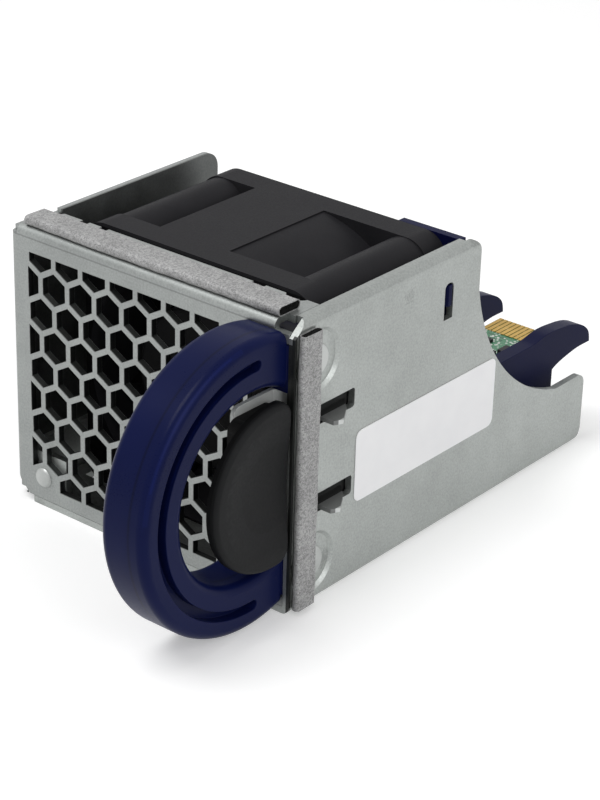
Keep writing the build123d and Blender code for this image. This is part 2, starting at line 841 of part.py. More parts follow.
# Thumb button: dished round pad with one flat side, a body behind it and two pegs through the paddle
button_back = lever_outside
button_face = button_back + button_thickness
with BuildPart() as dish:
    with BuildSketch(Plane.YZ.offset(button_face - dish_depth)) as dish_outline:
        with Locations((-button_centre_reach, button_height)):
            Circle(button_radius - dish_rim)
        with Locations((-button_flat_reach, button_height)):
            Rectangle(
                2 * button_radius,
                2 * button_radius,
                align=(Align.MIN, Align.CENTER),
                mode=Mode.SUBTRACT,
            )
    extrude(amount=dish_depth)
    dish_sphere = ((button_radius - dish_rim) ** 2 + dish_depth ** 2) / (2 * dish_depth)
    with Locations((button_face - dish_depth + dish_sphere, -button_centre_reach, button_height)):
        Sphere(dish_sphere, mode=Mode.INTERSECT)

with BuildPart() as thumb_button:
    with BuildSketch(Plane.YZ.offset(button_back)) as pad_outline:
        with Locations((-button_centre_reach, button_height)):
            Circle(button_radius)
        with Locations((-button_flat_reach, button_height)):
            Rectangle(
                2 * button_radius,
                2 * button_radius,
                align=(Align.MIN, Align.CENTER),
                mode=Mode.SUBTRACT,
            )
        fillet(pad_outline.vertices(), button_corner)
    extrude(amount=button_thickness)
    fillet(thumb_button.faces().sort_by(Axis.X)[-1].edges(), button_edge)
    add(dish.part, mode=Mode.SUBTRACT)
    with BuildSketch(Plane.YZ.offset(paddle_outside)):
        with Locations((-(button_body_reach + button_flat_reach) / 2, button_height)):
            RectangleRounded(button_body_reach - button_flat_reach, button_body_height, button_body_corner)
    extrude(amount=button_back - paddle_outside)
    with BuildSketch(Plane.YZ.offset(paddle_outside)):
        with Locations(*[(-peg_reach, place) for place in peg_heights]):
            Circle(peg_radius)
    extrude(amount=-latch_sheet)
    with BuildSketch(Plane.YZ.offset(paddle_inside)):
        with Locations(*[(-peg_reach, place) for place in peg_heights]):
            Circle(peg_head_radius)
    extrude(amount=-peg_head)
thumb_button.part.label = "thumb_button"
export_step(thumb_button.part, "parts/thumb_button.step")

# Bare label on the right wall
with BuildPart() as side_label:
    with BuildSketch(Plane.YZ.offset(right)):
        with Locations((label_start + label_length / 2, label_bottom + label_height / 2)):
            RectangleRounded(label_length, label_height, label_corner)
    extrude(amount=label_thickness)
side_label.part.label = "side_label"
export_step(side_label.part, "parts/side_label.step")

# Fan housing: flanges, barrel, corner tubes, struts, motor base and bearing tube
hub_front = fan_front + hub_front_inset
hub_inner_face = hub_front + hub_face
base_rear = fan_rear - motor_base_inset
base_front = base_rear - motor_base_depth
tube_front = fan_front + bearing_tube_front
tube_radius = bearing_radius + bearing_tube_wall
rear_bearing_front = base_front - bearing_length
front_plane = Plane(origin=(0, fan_front, fan_axis_height), x_dir=(-1, 0, 0), z_dir=(0, 1, 0))
rear_plane = Plane(origin=(0, fan_rear, fan_axis_height), x_dir=(-1, 0, 0), z_dir=(0, 1, 0))
base_plane = Plane(origin=(0, base_rear, fan_axis_height), x_dir=(-1, 0, 0), z_dir=(0, 1, 0))

with BuildPart() as fan_frame:
    with BuildSketch(front_plane):
        Circle(fan_bore_radius + fan_barrel_wall)
        with GridLocations(fan_hole_spacing, fan_hole_spacing, 2, 2):
            Circle(fan_hole_radius + corner_tube_wall)
        with PolarLocations(0, strut_count):
            with Locations((fan_bore_radius, -fan_bridge_start)):
                Rectangle(fan_size / 2 - fan_bore_radius, fan_bridge_start + fan_bridge_end, align=low_corner)
        Rectangle(fan_size, fan_size, mode=Mode.INTERSECT)
    extrude(amount=fan_depth)
    with BuildSketch(front_plane):
        RectangleRounded(fan_size, fan_size, fan_corner)
    extrude(amount=fan_flange)
    with BuildSketch(rear_plane):
        RectangleRounded(fan_size, fan_size, fan_corner)
    extrude(amount=-fan_flange)
    with BuildSketch(front_plane):
        Circle(fan_bore_radius)
        with GridLocations(fan_hole_spacing, fan_hole_spacing, 2, 2):
            Circle(fan_hole_radius)
    extrude(amount=fan_depth, mode=Mode.SUBTRACT)
    with BuildSketch(fan_section):
        with BuildLine():
            Polyline(
                (fan_front, fan_bore_radius),
                (fan_front, fan_mouth_radius),
                (fan_front + fan_mouth_depth, fan_bore_radius),
                close=True,
            )
        make_face()
    revolve(axis=fan_axis, mode=Mode.SUBTRACT)
    with BuildSketch(base_plane):
        with PolarLocations(0, strut_count, start_angle=strut_angle):
            Rectangle(
                fan_bore_radius + fan_barrel_wall / 2,
                strut_width,
                align=(Align.MIN, Align.CENTER),
            )
        Circle(bearing_radius, mode=Mode.SUBTRACT)
    extrude(amount=-strut_depth)
    with BuildSketch(fan_section):
        with BuildLine():
            Polyline(
                (base_rear, 0),
                (base_rear, motor_base_radius),
                (base_front, motor_base_radius),
                (base_front, tube_radius),
                (tube_front, tube_radius),
                (tube_front, bearing_radius),
                (tube_front + bearing_length, bearing_radius),
                (tube_front + bearing_length, bearing_radius - bearing_shoulder),
                (rear_bearing_front, bearing_radius - bearing_shoulder),
                (rear_bearing_front, bearing_radius),
                (base_rear - motor_base_cover, bearing_radius),
                (base_rear - motor_base_cover, 0),
                close=True,
            )
        make_face()
    revolve(axis=fan_axis)
fan_frame.part.label = "fan_frame"
export_step(fan_frame.part, "parts/fan_frame.step")

# One twisted fan blade, lofted outwards along X, with the rotor axis along Z
blade_tip_radius = fan_bore_radius - blade_tip_gap
blade_root_radius = hub_radius - blade_sink
with BuildPart() as blade:
    for reach, chord, pitch in (
        (blade_root_radius, blade_root_chord, blade_root_pitch),
        (fan_bore_radius, blade_tip_chord, blade_tip_pitch),
    ):
        slope = (0, cos(radians(pitch)), sin(radians(pitch)))
        crown = blade_camber_share * chord
        with BuildSketch(Plane(origin=(reach, 0, hub_length / 2), x_dir=slope, z_dir=(1, 0, 0))):
            with BuildLine():
                ThreePointArc(
                    (-chord / 2, blade_end),
                    (0, crown + blade_thickness / 2),
                    (chord / 2, blade_end),
                )
                Line((chord / 2, blade_end), (chord / 2, -blade_end))
                ThreePointArc(
                    (chord / 2, -blade_end),
                    (0, crown - blade_thickness / 2),
                    (-chord / 2, -blade_end),
                )
                Line((-chord / 2, -blade_end), (-chord / 2, blade_end))
            make_face()
    loft()
    with Locations((0, 0, hub_length / 2)):
        Cylinder(blade_tip_radius, 2 * hub_length, mode=Mode.INTERSECT)

# Impeller: cup-shaped hub with its ring of blades
hub_plane = Plane(origin=(0, hub_front, fan_axis_height), x_dir=(-1, 0, 0), z_dir=(0, 1, 0))
with BuildPart(hub_plane) as impeller:
    with BuildSketch(fan_section):
        with Locations((hub_front, 0)):
            Rectangle(hub_length, hub_radius, align=low_corner)
    revolve(axis=fan_axis)
    fillet(impeller.edges().sort_by(Axis.Y)[0], hub_edge)
    with PolarLocations(0, blade_count):
        add(blade.part)
    with BuildSketch(fan_section):
        with BuildLine():
            Polyline(
                (hub_front + hub_face / 2, 0),
                (hub_front + hub_face / 2, shaft_radius),
                (hub_inner_face + hub_boss_length, shaft_radius),
                (hub_inner_face + hub_boss_length, hub_boss_radius),
                (hub_inner_face, hub_boss_radius),
                (hub_inner_face, hub_radius - hub_wall),
                (hub_front + hub_length, hub_radius - hub_wall),
                (hub_front + hub_length, 0),
                close=True,
            )
        make_face()
    revolve(axis=fan_axis, mode=Mode.SUBTRACT)
impeller.part.label = "impeller"
export_step(impeller.part, "parts/impeller.step")

# Steel yoke inside the hub
yoke_radius = hub_radius - hub_wall
with BuildPart() as rotor_yoke:
    with BuildSketch(fan_section):
        with Locations((hub_inner_face, yoke_radius - yoke_wall)):
            Rectangle(yoke_length, yoke_wall, align=low_corner)
    revolve(axis=fan_axis)
rotor_yoke.part.label = "rotor_yoke"
export_step(rotor_yoke.part, "parts/rotor_yoke.step")

# Ring magnet inside the yoke
magnet_bore = yoke_radius - yoke_wall - magnet_wall
with BuildPart() as magnet_ring:
    with BuildSketch(fan_section):
        with Locations((hub_inner_face + magnet_start, magnet_bore)):
            Rectangle(magnet_length, magnet_wall, align=low_corner)
    revolve(axis=fan_axis)
magnet_ring.part.label = "magnet_ring"
export_step(magnet_ring.part, "parts/magnet_ring.step")

# Shaft with a groove for its clip
clip_front = base_front + clip_gap
shaft_rear = clip_front + clip_thickness + shaft_tail
with BuildPart() as rotor_shaft:
    with BuildSketch(fan_section):
        with BuildLine():
            Polyline(
                (hub_front + hub_face / 2, 0),
                (hub_front + hub_face / 2, shaft_radius),
                (clip_front, shaft_radius),
                (clip_front, shaft_radius - clip_groove),
                (clip_front + clip_thickness, shaft_radius - clip_groove),
                (clip_front + clip_thickness, shaft_radius),
                (shaft_rear, shaft_radius),
                (shaft_rear, 0),
                close=True,
            )
        make_face()
    revolve(axis=fan_axis)
rotor_shaft.part.label = "rotor_shaft"
export_step(rotor_shaft.part, "parts/rotor_shaft.step")

# Open clip in the groove of the shaft
clip_plane = Plane(origin=(0, clip_front, fan_axis_height), x_dir=(-1, 0, 0), z_dir=(0, 1, 0))
with BuildPart() as shaft_clip:
    with BuildSketch(clip_plane):
        Circle(clip_radius)
        Circle(shaft_radius - clip_groove, mode=Mode.SUBTRACT)
        Rectangle(clip_radius, shaft_radius, align=(Align.MIN, Align.CENTER), mode=Mode.SUBTRACT)
    extrude(amount=clip_thickness)
shaft_clip.part.label = "shaft_clip"
export_step(shaft_clip.part, "parts/shaft_clip.step")

# Preload spring between the hub boss and the front bearing
spring_front = hub_inner_face + hub_boss_length + running_gap + spring_wire / 2
spring_rear = tube_front - running_gap - spring_wire / 2
with BuildPart() as preload_spring:
    with BuildLine() as coil_line:
        Helix(
            (spring_rear - spring_front) / spring_turns,
            spring_rear - spring_front,
            spring_radius,
            center=(0, spring_front, fan_axis_height),
            direction=(0, 1, 0),
        )
    with BuildSketch(Plane(origin=coil_line.line @ 0, z_dir=coil_line.line % 0)):
        Circle(spring_wire / 2)
    sweep()
preload_spring.part.label = "preload_spring"
export_step(preload_spring.part, "parts/preload_spring.step")

# Ball bearings at both ends of the bearing tube
with BuildPart() as front_bearing:
    with BuildSketch(fan_section):
        with Locations((tube_front, shaft_radius + running_gap)):
            Rectangle(bearing_length, bearing_radius - shaft_radius - running_gap, align=low_corner)
    revolve(axis=fan_axis)
front_bearing.part.label = "front_bearing"
export_step(front_bearing.part, "parts/front_bearing.step")

with BuildPart() as rear_bearing:
    with BuildSketch(fan_section):
        with Locations((rear_bearing_front, shaft_radius + running_gap)):
            Rectangle(bearing_length, bearing_radius - shaft_radius - running_gap, align=low_corner)
    revolve(axis=fan_axis)
rear_bearing.part.label = "rear_bearing"
export_step(rear_bearing.part, "parts/rear_bearing.step")

# Stator core with its poles, pressed on the bearing tube
stator_front = tube_front + stator_front_gap
stator_radius = magnet_bore - air_gap
stator_plane = Plane(origin=(0, stator_front, fan_axis_height), x_dir=(-1, 0, 0), z_dir=(0, 1, 0))
with BuildPart() as stator_core:
    with BuildSketch(stator_plane):
        with PolarLocations(stator_radius - pole_tip_depth / 2, pole_count):
            Rectangle(pole_tip_depth, pole_tip_width)
        Circle(stator_radius, mode=Mode.INTERSECT)
        with PolarLocations(0, pole_count):
            Rectangle(stator_radius - pole_tip_depth / 2, pole_width, align=(Align.MIN, Align.CENTER))
        Circle(tube_radius + stator_ring_wall)
        Circle(tube_radius, mode=Mode.SUBTRACT)
    extrude(amount=stator_length)
stator_core.part.label = "stator_core"
export_step(stator_core.part, "parts/stator_core.step")

# Coils wound round the poles
coil_inner = tube_radius + stator_ring_wall + coil_inset
coil_outer = stator_radius - pole_tip_depth - coil_inset
coil_plane = stator_plane.offset(-coil_thickness)
with BuildPart() as stator_coils:
    with BuildSketch(coil_plane):
        with PolarLocations((coil_inner + coil_outer) / 2, pole_count):
            Rectangle(coil_outer - coil_inner, pole_width + 2 * coil_thickness)
    extrude(amount=stator_length + 2 * coil_thickness)
    with BuildSketch(stator_plane):
        with PolarLocations((coil_inner + coil_outer) / 2, pole_count):
            Rectangle(stator_radius, pole_width)
    extrude(amount=stator_length, mode=Mode.SUBTRACT)
stator_coils.part.label = "stator_coils"
export_step(stator_coils.part, "parts/stator_coils.step")

# Drive board of the fan motor
with BuildPart() as motor_board:
    with BuildSketch(fan_section):
        with Locations((base_front - motor_board_gap - motor_board_thickness, tube_radius)):
            Rectangle(motor_board_thickness, motor_board_radius - tube_radius, align=low_corner)
    revolve(axis=fan_axis)
motor_board.part.label = "motor_board"
export_step(motor_board.part, "parts/motor_board.step")

# Rear carrier: frame behind the fan, hooks in the walls, rails with guide horns, deck for the board
carrier_front = fan_rear
carrier_rear = carrier_front + carrier_thickness
carrier_left = -fan_size / 2
carrier_right = wall_inside - carrier_side_gap
tower_edge = right - tower_right
rail_outside = right - rail_right_gap
rail_inside = rail_outside - rail_thickness
far_rail_inside = rail_inside - rail_spacing
board_middle = (rail_inside + far_rail_inside) / 2
board_bottom = board_top - board_thickness
board_front = carrier_rear + board_front_gap
fan_hole_places = [
    (x_sign * fan_hole_spacing / 2, fan_axis_height + z_sign * fan_hole_spacing / 2)
    for x_sign in (-1, 1)
    for z_sign in (-1, 1)
]
board_screw_places = [
    (board_middle - board_screw_spacing / 2, board_front + board_screw_place),
    (board_middle + board_screw_spacing / 2, board_front + board_screw_place),
]
with BuildPart() as rear_carrier:
    with BuildSketch(Plane.XZ.offset(-carrier_rear)):
        with BuildLine():
            Polyline(
                (carrier_left, sheet),
                (carrier_right, sheet),
                (carrier_right, carrier_low_height),
                (tower_edge, carrier_low_height),
                (tower_edge, tower_height),
                (tower_left + tower_slope, tower_height),
                (tower_left, tower_height - tower_slope),
                (tower_left, fan_axis_height),
                (-outlet_left, fan_axis_height),
                (-outlet_left, carrier_low_height),
                (carrier_left, carrier_low_height),
                close=True,
            )
        make_face()
        with Locations((0, fan_axis_height)):
            Circle(outlet_radius, mode=Mode.SUBTRACT)
        with Locations(*fan_hole_places):
            Circle(fan_hole_radius + fan_screw_clearance, mode=Mode.SUBTRACT)
    extrude(amount=carrier_thickness)
    # Thinner top of the tower
    with BuildSketch(Plane.XY.offset(carrier_low_height)):
        with Locations((tower_left - overrun, carrier_front + tower_thickness)):
            Rectangle(tower_edge - tower_left + 2 * overrun, carrier_thickness, align=low_corner)
    extrude(amount=tower_height - carrier_low_height, mode=Mode.SUBTRACT)
    # Side hook that reaches forwards and drops into the wall slot
    hook_tip = wall_inside + sheet - seam
    with BuildSketch(Plane.XY.offset(slot_bottom + hook_bottom_gap)):
        with BuildLine():
            Polyline(
                (carrier_right, carrier_rear),
                (carrier_right, slot_start + slot_width - hook_gap),
                (hook_tip, slot_start + slot_width - hook_gap),
                (hook_tip, slot_start + slot_width / 2),
                (carrier_right, slot_start + hook_gap),
                (carrier_right - hook_thickness, slot_start + hook_gap),
                (carrier_right - hook_thickness, carrier_rear),
                close=True,
            )
        make_face()
    extrude(amount=slot_height - hook_bottom_gap - 2 * hook_gap)
    # Rails with their guide horns
    horn_length = horn_tip - horn_start
    horn_rise = horn_top_height - horn_base_height
    horn_top, horn_low = [
        [(horn_start + along * horn_length, horn_base_height + up * horn_rise) for along, up in shares]
        for shares in (horn_top_shares, horn_low_shares)
    ]
    horn_end = (horn_tip, horn_base_height + horn_tip_share * horn_rise)
    for rail_place in (rail_inside, far_rail_inside - rail_thickness):
        with BuildSketch(Plane.YZ.offset(rail_place)):
            with BuildLine():
                Polyline(
                    (rail_length, horn_base_height),
                    (rail_length, sheet),
                    (carrier_rear, sheet),
                    (carrier_rear, rail_height),
                    (horn_start, rail_height),
                )
                Spline((horn_start, rail_height), *horn_top, horn_end, tangents=((1, 0), (0.1, -1)))
                Spline(horn_end, *horn_low, (rail_length, horn_base_height), tangents=((-1, 0), (-1, -0.6)))
            make_face()
        extrude(amount=rail_thickness)
    with BuildSketch(Plane.XY.offset(deck_height)):
        with Locations((board_middle, carrier_rear)):
            Rectangle(rail_spacing, deck_end - carrier_rear, align=middle_low)
    extrude(amount=deck_thickness)
    with BuildSketch(Plane.XY.offset(sheet)):
        with Locations((board_middle, carrier_rear)):
            Rectangle(rail_spacing, foot_end - carrier_rear, align=middle_low)
    extrude(amount=foot_thickness)
    with BuildSketch(Plane.XY.offset(deck_height + deck_thickness)):
        with Locations(*board_screw_places):
            Circle(boss_radius)
    extrude(amount=board_bottom - deck_height - deck_thickness)
    with BuildSketch(Plane.XY.offset(deck_height)):
        with Locations(*board_screw_places):
            Circle(board_screw_radius)
    extrude(amount=board_bottom - deck_height, mode=Mode.SUBTRACT)
rear_carrier.part.label = "rear_carrier"
export_step(rear_carrier.part, "parts/rear_carrier.step")

# Screws that hold the carrier to the fan
with BuildPart() as fan_screws:
    with BuildSketch(Plane.XZ.offset(-carrier_rear)):
        with Locations(*fan_hole_places):
            Circle(fan_screw_head_radius)
    extrude(amount=-fan_screw_head_height)
    screw_rims = fan_screws.edges().filter_by(GeomType.CIRCLE).group_by(Axis.Y)[-1]
    fillet(screw_rims, fan_screw_head_height / 2)
    with BuildSketch(Plane.XZ.offset(-carrier_rear)):
        with Locations(*fan_hole_places):
            Circle(fan_hole_radius)
    extrude(amount=carrier_thickness + fan_screw_bite)
    with BuildSketch(Plane.XZ.offset(-carrier_rear - fan_screw_head_height)):
        with Locations(*fan_hole_places):
            Rectangle(2 * driver_radius, driver_radius / 2)
            Rectangle(driver_radius / 2, 2 * driver_radius)
    extrude(amount=driver_depth, mode=Mode.SUBTRACT)
fan_screws.part.label = "fan_screws"
export_step(fan_screws.part, "parts/fan_screws.step")

# Circuit board between the rails with its edge finger
with BuildPart() as circuit_board:
    with BuildSketch(Plane.XY.offset(board_bottom)):
        with Locations((board_middle, board_front)):
            Rectangle(rail_spacing - 2 * board_rail_gap, board_neck - board_front, align=middle_low)
        with Locations((board_middle + board_finger_offset, board_front)):
            Rectangle(board_finger_width, board_rear - board_front, align=middle_low)
        with Locations(*board_screw_places):
            Circle(board_screw_radius, mode=Mode.SUBTRACT)
    extrude(amount=board_thickness)
    chamfer(circuit_board.edges().filter_by(Axis.X).group_by(Axis.Y)[-1], board_chamfer)
circuit_board.part.label = "circuit_board"
export_step(circuit_board.part, "parts/circuit_board.step")

# Gold contacts on both faces of the finger
contact_middle = board_rear - contact_inset - contact_length / 2
with BuildPart() as edge_contacts:
    for contact_level, reach in ((board_top, contact_thickness), (board_bottom, -contact_thickness)):
        with BuildSketch(Plane.XY.offset(contact_level)):
            with Locations((board_middle + board_finger_offset, contact_middle)):
                with GridLocations(contact_pitch, contact_length, contact_count, 1):
                    Rectangle(contact_width, contact_length)
        extrude(amount=reach)
edge_contacts.part.label = "edge_contacts"
export_step(edge_contacts.part, "parts/edge_contacts.step")

# Socket for the fan leads
header_front = board_front + header_gap
with BuildPart() as board_header:
    with BuildSketch(Plane.XY.offset(board_top)):
        with Locations((board_middle, header_front)):
            Rectangle(header_length, header_depth, align=middle_low)
    extrude(amount=header_height)
    with BuildSketch(Plane.XY.offset(board_top + header_wall)):
        with Locations((board_middle, header_front + header_wall)):
            Rectangle(header_length - 2 * header_wall, header_depth - 2 * header_wall, align=middle_low)
    extrude(amount=header_height - header_wall, mode=Mode.SUBTRACT)
board_header.part.label = "board_header"
export_step(board_header.part, "parts/board_header.step")

with BuildPart() as header_pins:
    with BuildSketch(Plane.XY.offset(board_top + header_wall)):
        with Locations((board_middle, header_front + header_depth / 2)):
            with GridLocations(pin_pitch, pin_pitch, pin_count, 1):
                Rectangle(pin_size, pin_size)
    extrude(amount=pin_height)
header_pins.part.label = "header_pins"
export_step(header_pins.part, "parts/header_pins.step")

# Components on the board
board_width = rail_spacing - 2 * board_rail_gap
board_length = board_neck - board_front
with BuildPart() as board_chips:
    for place_shares, size_shares in zip(chip_place_shares, chip_size_shares):
        with BuildSketch(Plane.XY.offset(board_top)):
            with Locations(
                (
                    board_middle + place_shares[0] * board_width,
                    board_front + place_shares[1] * board_length,
                )
            ):
                Rectangle(size_shares[0] * chip_size, size_shares[1] * chip_size)
        extrude(amount=size_shares[2] * chip_size)
board_chips.part.label = "board_chips"
export_step(board_chips.part, "parts/board_chips.step")

with BuildPart() as board_capacitors:
    for place_shares in capacitor_place_shares:
        with BuildSketch(Plane.XY.offset(board_top)):
            with Locations(
                (
                    board_middle + place_shares[0] * board_width,
                    board_front + place_shares[1] * board_length,
                )
            ):
                Circle(capacitor_radius)
        extrude(amount=capacitor_height)
board_capacitors.part.label = "board_capacitors"
export_step(board_capacitors.part, "parts/board_capacitors.step")

# Screws that hold the board to the deck
with BuildPart() as board_screws:
    with BuildSketch(Plane.XY.offset(board_top)):
        with Locations(*board_screw_places):
            Circle(board_screw_head_radius)
    extrude(amount=board_screw_head_height)
    with BuildSketch(Plane.XY.offset(board_top)):
        with Locations(*board_screw_places):
            Circle(board_screw_radius)
    extrude(amount=-(board_top - deck_height))
board_screws.part.label = "board_screws"
export_step(board_screws.part, "parts/board_screws.step")
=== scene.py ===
import json
import math
import bpy
from mathutils import Matrix, Vector

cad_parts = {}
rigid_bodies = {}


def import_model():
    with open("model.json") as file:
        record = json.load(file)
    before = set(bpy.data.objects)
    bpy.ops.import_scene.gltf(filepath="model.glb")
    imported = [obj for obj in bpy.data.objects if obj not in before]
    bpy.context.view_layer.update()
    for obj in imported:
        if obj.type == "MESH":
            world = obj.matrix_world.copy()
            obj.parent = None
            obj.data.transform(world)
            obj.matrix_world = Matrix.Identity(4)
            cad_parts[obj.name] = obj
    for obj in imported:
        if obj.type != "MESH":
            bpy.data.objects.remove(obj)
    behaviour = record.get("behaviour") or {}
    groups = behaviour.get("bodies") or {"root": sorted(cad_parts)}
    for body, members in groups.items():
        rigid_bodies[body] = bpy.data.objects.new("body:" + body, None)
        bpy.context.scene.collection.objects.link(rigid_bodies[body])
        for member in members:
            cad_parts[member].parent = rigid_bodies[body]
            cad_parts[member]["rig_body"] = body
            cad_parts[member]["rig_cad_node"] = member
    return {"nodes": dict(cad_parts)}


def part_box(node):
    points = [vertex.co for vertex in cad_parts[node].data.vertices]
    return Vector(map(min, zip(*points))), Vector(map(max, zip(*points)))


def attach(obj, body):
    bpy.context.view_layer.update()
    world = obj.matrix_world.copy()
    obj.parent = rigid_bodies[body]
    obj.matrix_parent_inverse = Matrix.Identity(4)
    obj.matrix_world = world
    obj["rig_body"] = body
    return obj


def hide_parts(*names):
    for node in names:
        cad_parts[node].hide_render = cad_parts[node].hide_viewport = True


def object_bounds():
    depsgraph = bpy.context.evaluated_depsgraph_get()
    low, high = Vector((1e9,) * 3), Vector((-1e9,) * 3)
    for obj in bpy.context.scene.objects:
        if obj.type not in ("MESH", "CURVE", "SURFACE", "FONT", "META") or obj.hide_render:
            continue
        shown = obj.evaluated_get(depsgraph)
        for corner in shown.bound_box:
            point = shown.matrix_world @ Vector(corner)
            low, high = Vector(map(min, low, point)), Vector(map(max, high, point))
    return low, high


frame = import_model()
cadLow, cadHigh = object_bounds()
scene = bpy.context.scene
mm = 0.001  # forms and boxes are written in mm, the scales of textures per metre
print("frame loaded:", len(frame["nodes"]), "nodes")


# Helpers for modelling

def deselectAll():
    if bpy.context.object and bpy.context.object.mode != "OBJECT":
        bpy.ops.object.mode_set(mode="OBJECT")
    bpy.ops.object.select_all(action="DESELECT")


def makeActive(piece):
    deselectAll()
    piece.select_set(True)
    bpy.context.view_layer.objects.active = piece


def editAll(piece):
    makeActive(piece)
    bpy.ops.object.mode_set(mode="EDIT")
    bpy.ops.mesh.select_all(action="SELECT")


def leaveEdit():
    bpy.ops.object.mode_set(mode="OBJECT")


def startPrimitive(name):
    # the primitive that was just added is renamed and gets its place into its mesh
    piece = bpy.context.object
    piece.name = name
    piece.data.name = name
    bpy.ops.object.transform_apply(location=True, rotation=True, scale=True)
    return piece


def selectParts(piece, faceTest=None, edgeTest=None):
    # picks faces by centre and normal, or edges by their two ends, then goes back to edit mode
    bpy.ops.object.mode_set(mode="EDIT")
    bpy.ops.mesh.select_mode(type="FACE" if faceTest else "EDGE")
    bpy.ops.mesh.select_all(action="DESELECT")
    leaveEdit()
    mesh = piece.data
    if faceTest:
        for face in mesh.polygons:
            face.select = faceTest(face.center, face.normal)
    if edgeTest:
        for edge in mesh.edges:
            edge.select = edgeTest(*(mesh.vertices[i].co for i in edge.vertices))
    bpy.ops.object.mode_set(mode="EDIT")


def applyModifier(piece, kind, **settings):
    makeActive(piece)
    modifier = piece.modifiers.new(kind.lower(), kind)
    for key, value in settings.items():
        setattr(modifier, key, value)
    bpy.ops.object.modifier_apply(modifier=modifier.name)


def smoothByAngle(piece, degrees):
    makeActive(piece)
    bpy.ops.object.shade_smooth_by_angle(angle=math.radians(degrees))


def outward(piece, mergeGap=0.001):
    editAll(piece)
    bpy.ops.mesh.remove_doubles(threshold=mergeGap * mm)
    bpy.ops.mesh.normals_make_consistent(inside=False)
    leaveEdit()


def finishPiece(piece, body, nodeName):
    piece.data.materials.clear()
    piece.data.materials.append(finishes[nodeName])
    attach(piece, body)
    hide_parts(nodeName)


# Helpers for finishes

def newFinish(name):
    material = bpy.data.materials.new(name)
    material.use_nodes = True
    tree = material.node_tree
    coords = tree.nodes.new("ShaderNodeTexCoord")
    return material, tree, tree.nodes["Principled BSDF"], coords.outputs["Object"]


def fillSocket(tree, socket, value):
    # what comes from a node is linked, and a plain number or colour is set on the socket itself
    if isinstance(value, bpy.types.NodeSocket):
        tree.links.new(value, socket)
    elif isinstance(value, tuple):
        socket.default_value = (*value, 1.0)
    else:
        socket.default_value = value


def fillNode(tree, node, values):
    for name, value in values.items():
        fillSocket(tree, node.inputs[name], value)
    return node


def addNoise(tree, coords, scale, detail=2.0, roughness=0.5, distortion=0.0):
    node = tree.nodes.new("ShaderNodeTexNoise")
    fillNode(tree, node, {"Vector": coords, "Scale": scale, "Detail": detail,
                          "Roughness": roughness, "Distortion": distortion})
    return node.outputs["Fac"]


def addVoronoi(tree, coords, scale, output="Distance"):
    node = tree.nodes.new("ShaderNodeTexVoronoi")
    return fillNode(tree, node, {"Vector": coords, "Scale": scale}).outputs[output]


def addRamp(tree, value, places, colours):
    # a grey, or a plain value, is given as one number
    node = tree.nodes.new("ShaderNodeValToRGB")
    ramp = node.color_ramp
    while len(ramp.elements) < len(places):
        ramp.elements.new(0.5)
    for element, place, colour in zip(ramp.elements, places, colours):
        element.position = place
        element.color = (*colour, 1.0) if isinstance(colour, tuple) else (colour, colour, colour, 1.0)
    tree.links.new(value, node.inputs["Fac"])
    return node.outputs["Color"]


def addMath(tree, operation, first, second):
    node = tree.nodes.new("ShaderNodeMath")
    node.operation = operation
    for socket, value in zip(node.inputs, (first, second)):
        fillSocket(tree, socket, value)
    return node.outputs["Value"]


def blendValues(tree, share, first, second):
    return addMath(tree, "ADD", addMath(tree, "MULTIPLY", first, share),
                   addMath(tree, "MULTIPLY", second, 1 - share))


def mixColours(tree, share, first, second, blend="MIX"):
    node = tree.nodes.new("ShaderNodeMix")
    node.data_type = "RGBA"
    node.blend_type = blend
    fillSocket(tree, [s for s in node.inputs if s.name == "Factor" and s.type == "VALUE"][0], share)
    for socket, value in zip([s for s in node.inputs if s.type == "RGBA"], (first, second)):
        fillSocket(tree, socket, value)
    return [s for s in node.outputs if s.type == "RGBA"][0]


def insideBox(tree, coords, low, high):
    # 1 inside a box of the part, 0 outside it; None leaves a side open
    split = tree.nodes.new("ShaderNodeSeparateXYZ")
    tree.links.new(coords, split.inputs["Vector"])
    share = 1.0
    for output, lowSide, highSide in zip(split.outputs, low, high):
        for operation, side in (("GREATER_THAN", lowSide), ("LESS_THAN", highSide)):
            if side is not None:
                share = addMath(tree, "MULTIPLY", addMath(tree, operation, output, side * mm), share)
    return share


def shadePlaces(tree, coords, colour, shades):
    # each shade is a factor on the colour, paler above 1, and the two corners of its box; they paint shade, and
    # highlights above 1, except the ring's moulding line, which is its own colour
    for level, low, high in shades:
        colour = mixColours(tree, insideBox(tree, coords, low, high), colour, (level,) * 3, "MULTIPLY")
    return colour


def addBump(tree, shader, height, strength, depth, before=None):
    node = tree.nodes.new("ShaderNodeBump")
    fillNode(tree, node, {"Strength": strength, "Distance": depth * mm, "Height": height})
    if before:
        tree.links.new(before.outputs["Normal"], node.inputs["Normal"])
    tree.links.new(node.outputs["Normal"], shader.inputs["Normal"])
    return node


def seenByCamera(tree):
    # 1 where the camera looks straight at a surface, or sees it in metal or through glass
    path = tree.nodes.new("ShaderNodeLightPath")
    seen = addMath(tree, "MAXIMUM", path.outputs["Is Camera Ray"], path.outputs["Is Glossy Ray"])
    return addMath(tree, "MAXIMUM", seen, path.outputs["Is Transmission Ray"])


# Zinc plating: cloudy patches, crystals, fine grains and a few faint marks from handling

